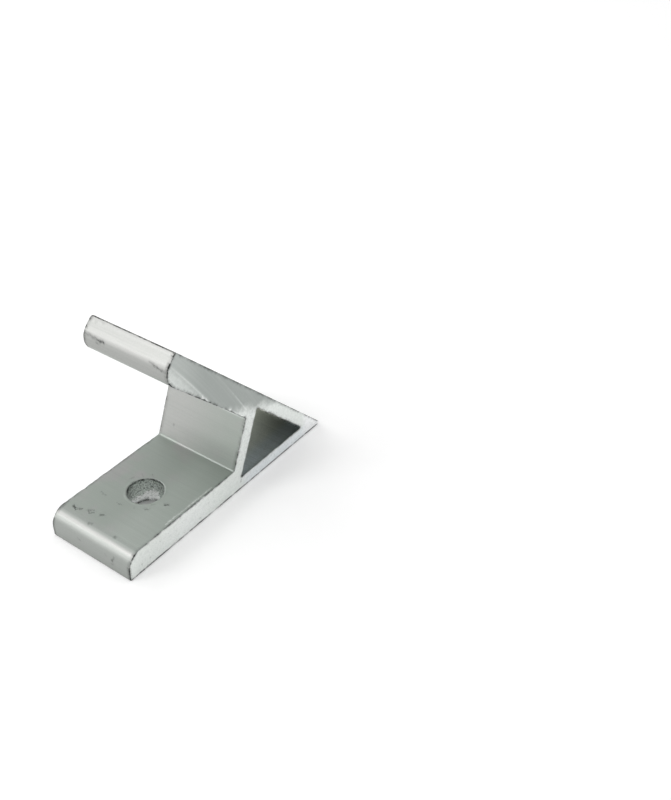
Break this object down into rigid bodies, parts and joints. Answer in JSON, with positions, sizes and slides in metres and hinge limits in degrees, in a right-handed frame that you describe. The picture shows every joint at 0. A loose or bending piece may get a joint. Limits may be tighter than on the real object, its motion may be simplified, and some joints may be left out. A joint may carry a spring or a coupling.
{
  "type": "t slot corner bracket",
  "caption": "Acute inside corner bracket cut from an extruded A-shaped aluminium section, with a web, a hollow corner and a bolt hole in each leg.",
  "frame": {"origin": "centre of the lower leg's bolt hole on that leg's flat outer face, which seats on the framing", "axes": "+X along the lower leg towards the sharp corner, +Y along the extrusion, across the bracket's width, +Z from the lower leg's outer face up into the gap between the legs"},
  "size_m": [0.0509, 0.018, 0.0363],
  "materials": {
    "aluminium": "plain extruded aluminium, satin skin with die lines, sawn bright at both cut faces"
  },
  "bodies": {
    "root": {"corner_bracket": "aluminium"}
  },
  "joints": []
}
